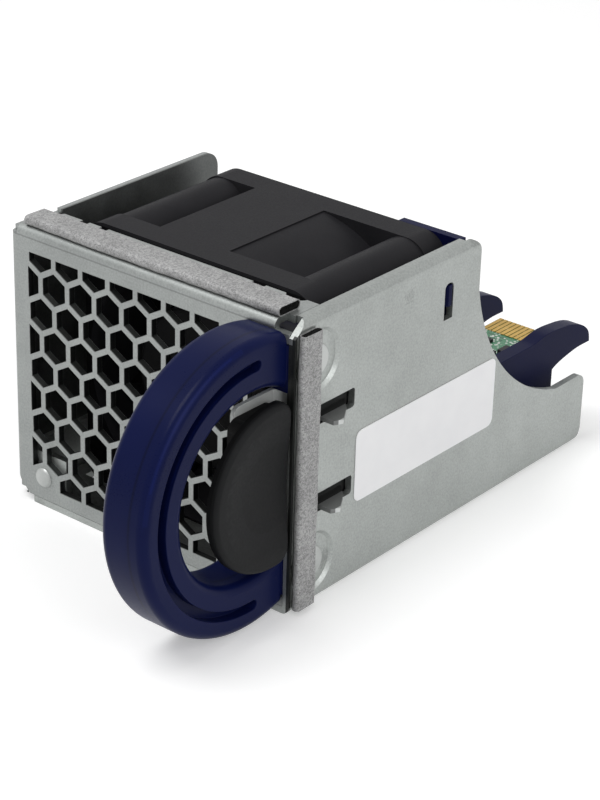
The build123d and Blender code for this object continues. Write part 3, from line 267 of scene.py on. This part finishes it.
panelShades = (
    (0.16, (-21.6, 0.14, 3.0), (16.8, 0.97, 37.9)),      # painted shade on the cut edges inside the vent's holes
    (0.45, (-24.05, 1.25, 1.25), (-23.70, None, None)),  # painted shade on the inner side of the left wall
    (0.70, (None, None, 39.62), (None, 0.35, 39.84)),    # thin line of painted shade below the top bend
)
trayShades = (
    (0.12, (24.30, None, None), (None, 0.40, None)),     # painted shadow on the wall's front edge beside the gasket
    (0.15, (23.70, None, 28.5), (24.31, 0.40, 38.3)),    # and painted shadow beside the ring
    (0.88, (None, 1.5, 40.15), (None, None, None)),      # painted shade on the folded top lip
)
zincPlain = dict(
    pale=(0.364, 0.382, 0.373), dark=(0.325, 0.341, 0.334), metal=0.90,
    patch=70, patchForm=dict(detail=5.0, roughness=0.62, distortion=0.3), patchPlaces=(0.38, 0.60),
    grain=3400, grainForm=dict(detail=2.0, roughness=0.6), grainPlaces=(0.3, 0.7),
    crystal=520, crystalLevel=0.92, crystalShare=0.4, grainLevel=0.74, grainShare=0.8,
    mark=88, markGrain=0.10, markPlaces=(0.12, 0.20), markLevel=0.62, markShare=0.6,
    gloss=210, glossForm=dict(detail=3.0, roughness=0.6), glossPlaces=(0.3, 0.7), low=0.38, high=0.52,
    patchRelief=dict(strength=0.15, depth=0.03), grainRelief=dict(strength=0.20, depth=0.012),
)
zincUser = {
    # the sheet's zinc is darker than the tray's: painted shade on the front panel
    "zincPlatedSheet": dict(zincPlain, nodes=["front_panel"], shades=panelShades),
    "zincPlatedTray": dict(zincPlain, nodes=["base_tray"], shades=trayShades,
                           pale=(0.436, 0.458, 0.444), dark=(0.398, 0.418, 0.405)),
}


def zincFinish(name, user):
    material, tree, shader, coords = newFinish(name)
    patch = addNoise(tree, coords, user["patch"], **user["patchForm"])
    grain = addNoise(tree, coords, user["grain"], **user["grainForm"])
    crystal = addVoronoi(tree, coords, user["crystal"], "Color")
    # the grain breaks up the edges of the marks
    mark = addMath(tree, "ADD", addVoronoi(tree, coords, user["mark"]),
                   addMath(tree, "MULTIPLY", grain, user["markGrain"]))
    colour = addRamp(tree, patch, user["patchPlaces"], (user["dark"], user["pale"]))
    for key, value, places in (("crystal", crystal, (0.0, 1.0)), ("grain", grain, user["grainPlaces"]),
                               ("mark", mark, user["markPlaces"])):
        layer = addRamp(tree, value, places, (user[key + "Level"], 1.0))
        colour = mixColours(tree, user[key + "Share"], colour, layer, "MULTIPLY")
    gloss = addNoise(tree, coords, user["gloss"], **user["glossForm"])
    fillNode(tree, shader, {"Base Color": shadePlaces(tree, coords, colour, user["shades"]),
                            "Roughness": addRamp(tree, gloss, user["glossPlaces"], (user["low"], user["high"])),
                            "Metallic": user["metal"]})
    swell = addBump(tree, shader, patch, **user["patchRelief"])
    addBump(tree, shader, grain, before=swell, **user["grainRelief"])
    return material


# Mouldings, plain metals and the label's film: slow patches in the colour, fine grain in the gloss

ringShades = (
    (0.80, (20.75, -26.5, None), (21.25, -0.2, None)),   # moulding line round the rim
    (0.75, (20.90, -26.5, None), (21.10, -0.2, None)),
    (1.25, (22.92, -26.5, 23.0), (23.32, -8.0, None)),   # painted highlight, a paler streak near the rim's right edge
    (1.30, (23.04, -25.5, 27.0), (23.22, -10.0, None)),
)
buttonShades = (
    (0.84, (None, None, None), (24.50, None, None)),     # painted shade: the body is darker the further it is behind the face, the dish's hollow and the rim's side too
    (0.40, (None, None, None), (24.12, None, None)),
)
springShades = (
    (0.06, (None, 1.2, None), (24.6, None, None)),       # painted shade on what lies inside the wall
    (0.32, (24.6, 1.2, None), (26.95, None, None)),      # painted shade on the teeth, up to their pale ends
)
fanShades = (
    (0.25, (None, None, None), (None, 9.56, 39.8)),      # front face, in the shade behind the vent
)
plasticPlain = dict(patchForm=dict(detail=3.0, roughness=0.55), patchPlaces=(0.35, 0.65), patchGloss=0.5,
                    grainForm=dict(detail=2.5, roughness=0.6), glossPlaces=(0.35, 0.65),
                    depth=0.02, metal=0.0, shades=())
plasticUser = {
    "handlePlastic": dict(plasticPlain, nodes=["handle_ring"], shades=ringShades,
                          pale=(0.0036, 0.0070, 0.0490), dark=(0.0028, 0.0056, 0.0410),
                          patch=60, grain=3600, low=0.26, high=0.38, bump=0.20, shine=0.07),
    "buttonPlastic": dict(plasticPlain, nodes=["thumb_button"], shades=buttonShades,
                          pale=(0.0140, 0.0146, 0.0152), dark=(0.0105, 0.0108, 0.0114),
                          patch=110, grain=2600, low=0.45, high=0.62, bump=0.45, shine=0.09),
    "fanPlastic": dict(plasticPlain, nodes=["fan_frame"], shades=fanShades,
                       pale=(0.0215, 0.0210, 0.0232), dark=(0.0160, 0.0157, 0.0178),
                       patch=130, grain=4200, low=0.42, high=0.58, bump=0.28, shine=0.05),
    # the rotor's plastic is darker than the frame's: painted shade deep behind the vent
    "rotorPlastic": dict(plasticPlain, nodes=["impeller"],
                         pale=(0.0060, 0.0060, 0.0065), dark=(0.0042, 0.0042, 0.0046),
                         patch=130, grain=4200, low=0.45, high=0.60, bump=0.25, shine=0.10),
    "carrierPlastic": dict(plasticPlain, nodes=["rear_carrier"],
                           pale=(0.0044, 0.0060, 0.0380), dark=(0.0034, 0.0048, 0.0310),
                           patch=80, grain=3600, low=0.32, high=0.46, bump=0.20, shine=0.05),
    "headerPlastic": dict(plasticPlain, nodes=["board_header"],
                          pale=(0.5200, 0.5000, 0.4400), dark=(0.4600, 0.4400, 0.3900),
                          patch=200, grain=4200, low=0.42, high=0.55, bump=0.20, shine=0.40),
    "chipPlastic": dict(plasticPlain, nodes=["board_chips"],
                        pale=(0.0140, 0.0140, 0.0150), dark=(0.0100, 0.0100, 0.0110),
                        patch=300, grain=6200, low=0.45, high=0.62, bump=0.35, shine=0.30),
    "labelFilm": dict(plasticPlain, nodes=["side_label"], patchForm=dict(detail=3.0, roughness=0.6),
                      pale=(0.925, 0.925, 0.935), dark=(0.890, 0.890, 0.905), patch=150, patchGloss=0.0,
                      grain=4200, grainForm=dict(detail=3.0, roughness=0.6), glossPlaces=(0.3, 0.7),
                      low=0.34, high=0.50, bump=0.08, depth=0.01, shine=0.5),
}
metalPlain = dict(patch=260, patchForm=dict(detail=3.0, roughness=0.6), patchPlaces=(0.35, 0.65), patchGloss=0.0,
                  grain=6200, grainForm=dict(detail=2.0, roughness=0.6), glossPlaces=(0.3, 0.7),
                  bump=0.15, depth=0.01, metal=1.0, shine=0.5, shades=())
metalUser = {
    "springSteel": dict(metalPlain, nodes=["latch_spring"], shades=springShades, metal=0.30, shine=0.10,
                        pale=(0.64, 0.66, 0.65), dark=(0.56, 0.58, 0.57), low=0.40, high=0.55),
    "rivetSteel": dict(metalPlain, metal=0.8,
                       nodes=["panel_rivets", "handle_rivets", "latch_rivets", "fan_screws", "board_screws"],
                       pale=(0.50, 0.515, 0.505), dark=(0.38, 0.395, 0.385), low=0.34, high=0.50),
    "yokeSteel": dict(metalPlain, nodes=["rotor_yoke"],
                      pale=(0.42, 0.42, 0.42), dark=(0.34, 0.34, 0.34), low=0.35, high=0.5),
    "bondedMagnet": dict(metalPlain, nodes=["magnet_ring"], metal=0.0,
                         pale=(0.030, 0.030, 0.031), dark=(0.020, 0.020, 0.020), low=0.6, high=0.8),
    "groundSteel": dict(metalPlain,
                        nodes=["rotor_shaft", "front_bearing", "rear_bearing", "shaft_clip", "preload_spring"],
                        pale=(0.62, 0.62, 0.63), dark=(0.54, 0.54, 0.55), low=0.16, high=0.26),
    "coreSteel": dict(metalPlain, nodes=["stator_core"],
                      pale=(0.36, 0.36, 0.37), dark=(0.28, 0.28, 0.29), low=0.38, high=0.55),
    "enamelledCopper": dict(metalPlain, nodes=["stator_coils"],
                            pale=(0.62, 0.27, 0.11), dark=(0.48, 0.19, 0.07), low=0.22, high=0.36),
    "goldPlate": dict(metalPlain, nodes=["edge_contacts", "header_pins"],
                      pale=(0.56, 0.36, 0.085), dark=(0.46, 0.29, 0.065), low=0.26, high=0.40),
    "capacitorCan": dict(metalPlain, nodes=["board_capacitors"],
                         pale=(0.60, 0.60, 0.61), dark=(0.50, 0.50, 0.51), low=0.25, high=0.4),
}


def satinFinish(name, user):
    material, tree, shader, coords = newFinish(name)
    patch = addNoise(tree, coords, user["patch"], **user["patchForm"])
    grain = addNoise(tree, coords, user["grain"], **user["grainForm"])
    colour = addRamp(tree, patch, user["patchPlaces"], (user["dark"], user["pale"]))
    gloss = blendValues(tree, user["patchGloss"], patch, grain)
    fillNode(tree, shader, {"Base Color": shadePlaces(tree, coords, colour, user["shades"]),
                            "Roughness": addRamp(tree, gloss, user["glossPlaces"], (user["low"], user["high"])),
                            "Metallic": user["metal"], "Specular IOR Level": user["shine"]})
    addBump(tree, shader, grain, user["bump"], user["depth"])
    return material


# Gaskets: conductive cloth and open foam

clothUser = {"gasketCloth": dict(
    nodes=["top_gasket_fabric", "side_gasket_fabric"], metal=0.35,
    tones=((0.16, 0.16, 0.16), (0.345, 0.345, 0.345), (0.56, 0.56, 0.555)), tonePlaces=(0.34, 0.50, 0.68),
    thread=4600, threadShare=0.22, fleck=8200, fleckForm=dict(detail=4.0, roughness=0.75),
    soil=260, soilForm=dict(detail=3.0, roughness=0.6), soilPlaces=(0.35, 0.62), soilLevel=0.84,
    glossPlaces=(0.3, 0.7), low=0.48, high=0.72, bump=0.60, depth=0.07,
)}
foamUser = {"gasketFoam": dict(
    nodes=["top_gasket_foam", "side_gasket_foam"], cells=2600, tonePlaces=(0.1, 0.6),
    tones=((0.003, 0.003, 0.003), (0.012, 0.012, 0.012)), rough=0.92, shine=0.02, bump=0.8, depth=0.12,
)}


def clothFinish(name, user):
    # short random flecks over a faint mottle as wide as the threads, and a little soil
    material, tree, shader, coords = newFinish(name)
    fleck = addNoise(tree, coords, user["fleck"], **user["fleckForm"])
    height = blendValues(tree, user["threadShare"], addVoronoi(tree, coords, user["thread"], "Color"), fleck)
    colour = addRamp(tree, height, user["tonePlaces"], user["tones"])
    soil = addRamp(tree, addNoise(tree, coords, user["soil"], **user["soilForm"]),
                   user["soilPlaces"], (user["soilLevel"], 1.0))
    fillNode(tree, shader, {"Base Color": mixColours(tree, 1.0, colour, soil, "MULTIPLY"),
                            "Roughness": addRamp(tree, fleck, user["glossPlaces"], (user["low"], user["high"])),
                            "Metallic": user["metal"]})
    addBump(tree, shader, height, user["bump"], user["depth"])
    return material


def foamFinish(name, user):
    material, tree, shader, coords = newFinish(name)
    cells = addVoronoi(tree, coords, user["cells"])
    fillNode(tree, shader, {"Base Color": addRamp(tree, cells, user["tonePlaces"], user["tones"]),
                            "Roughness": user["rough"], "Specular IOR Level": user["shine"]})
    addBump(tree, shader, cells, user["bump"], user["depth"])
    return material


# Circuit boards: solder mask with the paler lines of the copper beneath it, and bare soldered pads on top

boardUser = {"solderMask": dict(
    nodes=["circuit_board", "motor_board"],
    mask=(0.012, 0.105, 0.045), trace=(0.030, 0.190, 0.085), pad=(0.62, 0.66, 0.60),
    traces=260, traceOffset=0.37, traceWidth=0.05, traceSoftness=0.1,
    pour=180, pourPlaces=(0.46, 0.50), group=420, groupPlaces=(0.40, 0.46), spotDetail=1.0,
    pads=1900, padPlaces=(0.34, 0.40), top=14.95,
    gloss=900, glossPlaces=(0.3, 0.7), low=0.24, high=0.38, bump=0.25, depth=0.03,
)}


def boardFinish(name, user):
    material, tree, shader, coords = newFinish(name)
    lines = tree.nodes.new("ShaderNodeTexBrick")
    lines.offset = user["traceOffset"]
    fillNode(tree, lines, {"Vector": coords, "Scale": user["traces"], "Mortar Size": user["traceWidth"],
                           "Mortar Smooth": user["traceSoftness"]})
    copper = lines.outputs["Fac"]
    pour = addNoise(tree, coords, user["pour"], user["spotDetail"])
    colour = mixColours(tree, copper, user["mask"], user["trace"])
    colour = mixColours(tree, addRamp(tree, pour, user["pourPlaces"], (0.0, 1.0)), colour, user["trace"])
    # the pads lie in loose groups on the upper side
    pads = addRamp(tree, addVoronoi(tree, coords, user["pads"]), user["padPlaces"], (1.0, 0.0))
    groups = addRamp(tree, addNoise(tree, coords, user["group"], user["spotDetail"]),
                     user["groupPlaces"], (0.0, 1.0))
    groups = addMath(tree, "MULTIPLY", groups,
                     insideBox(tree, coords, (None, None, user["top"]), (None, None, None)))
    colour = mixColours(tree, addMath(tree, "MULTIPLY", pads, groups), colour, user["pad"])
    gloss = addNoise(tree, coords, user["gloss"])
    fillNode(tree, shader, {"Base Color": colour,
                            "Roughness": addRamp(tree, gloss, user["glossPlaces"], (user["low"], user["high"]))})
    addBump(tree, shader, copper, user["bump"], user["depth"])
    return material


finishes = {}  # each node's material
for makeFinish, family in ((zincFinish, zincUser), (satinFinish, plasticUser), (satinFinish, metalUser),
                           (clothFinish, clothUser), (foamFinish, foamUser), (boardFinish, boardUser)):
    for name, user in family.items():
        finish = makeFinish(name, user)
        for nodeName in user["nodes"]:
            finishes[nodeName] = finish
print("finishes made for", len(finishes), "nodes")


# Solids of the frame that show: copies with their edges rounded off, as tooling leaves them

dressUser = dict(mergeGap=0.002, flatAngle=1.0, roundSteps=2, edgeAngle=35, smoothAngle=38, normalWeight=60)
edgeRounds = {
    "front_panel": ("frontPanel", 0.10), "base_tray": ("baseTray", 0.10), "panel_rivets": ("panelRivets", 0.08),
    "handle_rivets": ("handleRivets", 0.08), "latch_rivets": ("latchRivets", 0.06),
    "latch_spring": ("latchSpring", 0.08), "handle_ring": ("handleRing", 0.35),
    "thumb_button": ("thumbButton", 0.30), "fan_frame": ("fanFrame", 0.16), "impeller": ("impellerWheel", 0.06),
    "rear_carrier": ("rearCarrier", 0.15), "circuit_board": ("circuitBoard", 0.05),
    "edge_contacts": ("edgeContacts", 0.0), "board_header": ("boardHeader", 0.08),
    "board_chips": ("boardChips", 0.06), "board_capacitors": ("boardCapacitors", 0.10),
    "fan_screws": ("fanScrews", 0.08), "board_screws": ("boardScrews", 0.06),
}


def dressNode(nodeName, pieceName, edgeRound, user):
    source = frame["nodes"][nodeName]
    makeActive(source)
    bpy.ops.object.duplicate()
    piece = bpy.context.object
    piece.name = pieceName
    piece.data.name = pieceName
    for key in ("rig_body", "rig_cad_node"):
        del piece[key]
    editAll(piece)
    bpy.ops.mesh.remove_doubles(threshold=user["mergeGap"] * mm)
    bpy.ops.mesh.dissolve_limited(angle_limit=math.radians(user["flatAngle"]))
    leaveEdit()
    if edgeRound:
        applyModifier(piece, "BEVEL", width=edgeRound * mm, segments=user["roundSteps"], limit_method="ANGLE",
                      angle_limit=math.radians(user["edgeAngle"]), use_clamp_overlap=True, harden_normals=False)
    smoothByAngle(piece, user["smoothAngle"])
    applyModifier(piece, "WEIGHTED_NORMAL", weight=user["normalWeight"], keep_sharp=True)
    finishPiece(piece, source["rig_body"], nodeName)


for nodeName, (pieceName, edgeRound) in edgeRounds.items():
    dressNode(nodeName, pieceName, edgeRound, dressUser)
print("solids dressed")


# Gaskets: a sleeve of cloth over a foam core

gasketPlain = dict(cornerShare=0.46, cornerSteps=6, lengthCuts=90, cloth=0.11, gap=0.02, sink=0.05,
                   waver=0.16, waverScale=3.2, waverMiddle=0.7, swellScale=11.0, swellMiddle=0.5,
                   cloudDepth=2, smoothAngle=50)
gasketUser = {
    "top": dict(gasketPlain, axis=0, outAxis=2, swell=0.35, narrow=0.0, grow=0.15),
    "side": dict(gasketPlain, axis=2, outAxis=0, swell=0.25, narrow=0.45, grow=0.0),
}


def gasketBar(name, low, high, user, closed):
    axis = user["axis"]
    size = high - low

    def isEnd(place, normal):
        return abs(normal[axis]) > 0.9

    def runsAlong(first, second):
        return abs(first[axis] - second[axis]) > 0.01 * mm

    deselectAll()
    bpy.ops.mesh.primitive_cube_add(size=1, location=(low + high) / 2, scale=size)
    piece = startPrimitive(name)
    if not closed:
        selectParts(piece, faceTest=isEnd)
        bpy.ops.mesh.delete(type="FACE")
        leaveEdit()
    thin = min(size[i] for i in range(3) if i != axis)
    selectParts(piece, edgeTest=runsAlong)
    bpy.ops.mesh.bevel(offset=thin * user["cornerShare"], offset_type="OFFSET", segments=user["cornerSteps"])
    leaveEdit()
    selectParts(piece, edgeTest=runsAlong)
    bpy.ops.mesh.subdivide(number_cuts=user["lengthCuts"])
    leaveEdit()
    return piece


def waverPiece(piece, user):
    # soft unevenness of the foam under the cloth, mostly inwards, then a slow change of its width
    for suffix, key, direction in (("Fine", "waver", "NORMAL"), ("Slow", "swell", "Y")):
        clouds = bpy.data.textures.new(piece.name + suffix, "CLOUDS")
        clouds.noise_scale = user[key + "Scale"] * mm
        clouds.noise_depth = user["cloudDepth"]
        applyModifier(piece, "DISPLACE", texture=clouds, texture_coords="LOCAL", direction=direction,
                      strength=user[key] * mm, mid_level=user[key + "Middle"])
    outward(piece)


def makeGasket(side, user):
    low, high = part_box(side + "_gasket_fabric")
    high.y -= user["narrow"] * mm
    high[user["outAxis"]] += user["grow"] * mm
    sleeve = gasketBar(side + "GasketCloth", low, high, user, False)
    waverPiece(sleeve, user)
    applyModifier(sleeve, "SOLIDIFY", thickness=user["cloth"] * mm, offset=-1)
    smoothByAngle(sleeve, user["smoothAngle"])
    finishPiece(sleeve, "module", side + "_gasket_fabric")
    # the core fills the sleeve and shows at its open ends
    inset = Vector([(user["cloth"] + user["gap"]) * mm] * 3)
    inset[user["axis"]] = user["sink"] * mm
    core = gasketBar(side + "GasketCore", low + inset, high - inset, user, True)
    waverPiece(core, user)
    smoothByAngle(core, user["smoothAngle"])
    finishPiece(core, "module", side + "_gasket_foam")


for side, user in gasketUser.items():
    makeGasket(side, user)
print("gaskets made")


# Bare label on the right wall

labelUser = dict(cornerRound=1.1, cornerSteps=4, film=0.09, lift=0.01, cuts=3, smoothAngle=40)


def sideLabel(user):
    low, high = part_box("side_label")
    centre = (low + high) / 2
    size = high - low
    deselectAll()
    bpy.ops.mesh.primitive_plane_add(size=1, location=(low.x + user["lift"] * mm, centre.y, centre.z),
                                     rotation=(0, math.pi / 2, 0))
    bpy.context.object.scale = (size.z, size.y, 1)
    piece = startPrimitive("sideLabelFilm")
    editAll(piece)
    bpy.ops.mesh.bevel(offset=user["cornerRound"] * mm, segments=user["cornerSteps"], affect="VERTICES")
    bpy.ops.mesh.select_all(action="SELECT")
    bpy.ops.mesh.quads_convert_to_tris()
    bpy.ops.mesh.subdivide(number_cuts=user["cuts"])
    leaveEdit()
    outward(piece)
    if sum(face.normal.x for face in piece.data.polygons) < 0:  # an open sheet can come out either way
        editAll(piece)
        bpy.ops.mesh.flip_normals()
        leaveEdit()
    applyModifier(piece, "SOLIDIFY", thickness=user["film"] * mm, offset=1)
    smoothByAngle(piece, user["smoothAngle"])
    finishPiece(piece, "module", "side_label")


sideLabel(labelUser)
print("label made")

# the nodes that no piece stands for keep their shape and get their finish
for nodeName, node in frame["nodes"].items():
    if not node.hide_render:
        node.data.materials.clear()
        node.data.materials.append(finishes[nodeName])


# Floor, light and camera, with places and sizes in metres

stageUser = dict(half=2.5, corner=0.625, cornerSteps=8, gap=0.00002, floor=(0.90, 0.90, 0.90), rough=0.9,
                 shine=0.1, lift=0.30, sky=0.40)
lampUser = {
    "keyLamp": dict(place=(-0.16, -0.30, 0.78), size=0.45, power=3.6),
    "sideLamp": dict(place=(0.62, -0.10, 0.40), size=0.50, power=1.4),
}
cameraUser = dict(
    place=(0.19154, -0.20645, 0.16155), lens=108.1, sensor=36, nearest=0.01,
    right=(0.77145, 0.63577, 0.02560), up=(-0.29838, 0.32593, 0.89707), back=(0.56199, -0.69969, 0.44114),
)


def makeFloor(user):
    deselectAll()
    bpy.ops.mesh.primitive_plane_add(size=2 * user["half"], location=(0, 0, cadLow.z - user["gap"]))
    floor = startPrimitive("studioFloor")
    editAll(floor)
    bpy.ops.mesh.bevel(offset=user["corner"], segments=user["cornerSteps"], affect="VERTICES")
    leaveEdit()
    material, tree, shader = newFinish("studioFloor")[:3]
    fillNode(tree, shader, {"Base Color": user["floor"], "Roughness": user["rough"],
                            "Specular IOR Level": user["shine"]})
    glow = tree.nodes.new("ShaderNodeEmission")
    fillNode(tree, glow, {"Strength": addMath(tree, "MULTIPLY", seenByCamera(tree), user["lift"])})
    both = tree.nodes.new("ShaderNodeAddShader")
    tree.links.new(shader.outputs["BSDF"], both.inputs[0])
    tree.links.new(glow.outputs["Emission"], both.inputs[1])
    tree.links.new(both.outputs["Shader"], tree.nodes["Material Output"].inputs["Surface"])
    floor.data.materials.append(material)


def makeWorld(user):
    world = bpy.data.worlds.new("studioWorld")
    scene.world = world
    world.use_nodes = True
    tree = world.node_tree
    strength = addMath(tree, "MAXIMUM", seenByCamera(tree), user["sky"])
    fillNode(tree, tree.nodes["Background"], {"Color": (1.0, 1.0, 1.0), "Strength": strength})


def makeLamp(name, user):
    deselectAll()
    bpy.ops.object.light_add(type="AREA", location=user["place"])
    lamp = bpy.context.object
    lamp.name = name
    lamp.data.size = user["size"]
    lamp.data.energy = user["power"]
    target = (cadLow + cadHigh) / 2
    lamp.rotation_euler = (Vector(user["place"]) - target).to_track_quat("Z", "Y").to_euler()


def makeCamera(user):
    deselectAll()
    bpy.ops.object.camera_add(location=user["place"])
    camera = bpy.context.object
    camera.name = "photoCamera"
    camera.data.lens = user["lens"]
    camera.data.sensor_width = user["sensor"]
    camera.data.clip_start = user["nearest"]
    turn = Matrix((user["right"], user["up"], user["back"])).transposed()
    camera.matrix_world = Matrix.Translation(user["place"]) @ turn.to_4x4()
    scene.camera = camera


makeFloor(stageUser)
makeWorld(stageUser)
for name, user in lampUser.items():
    makeLamp(name, user)
makeCamera(cameraUser)
scene.view_settings.view_transform = "Standard"
print("stage set")
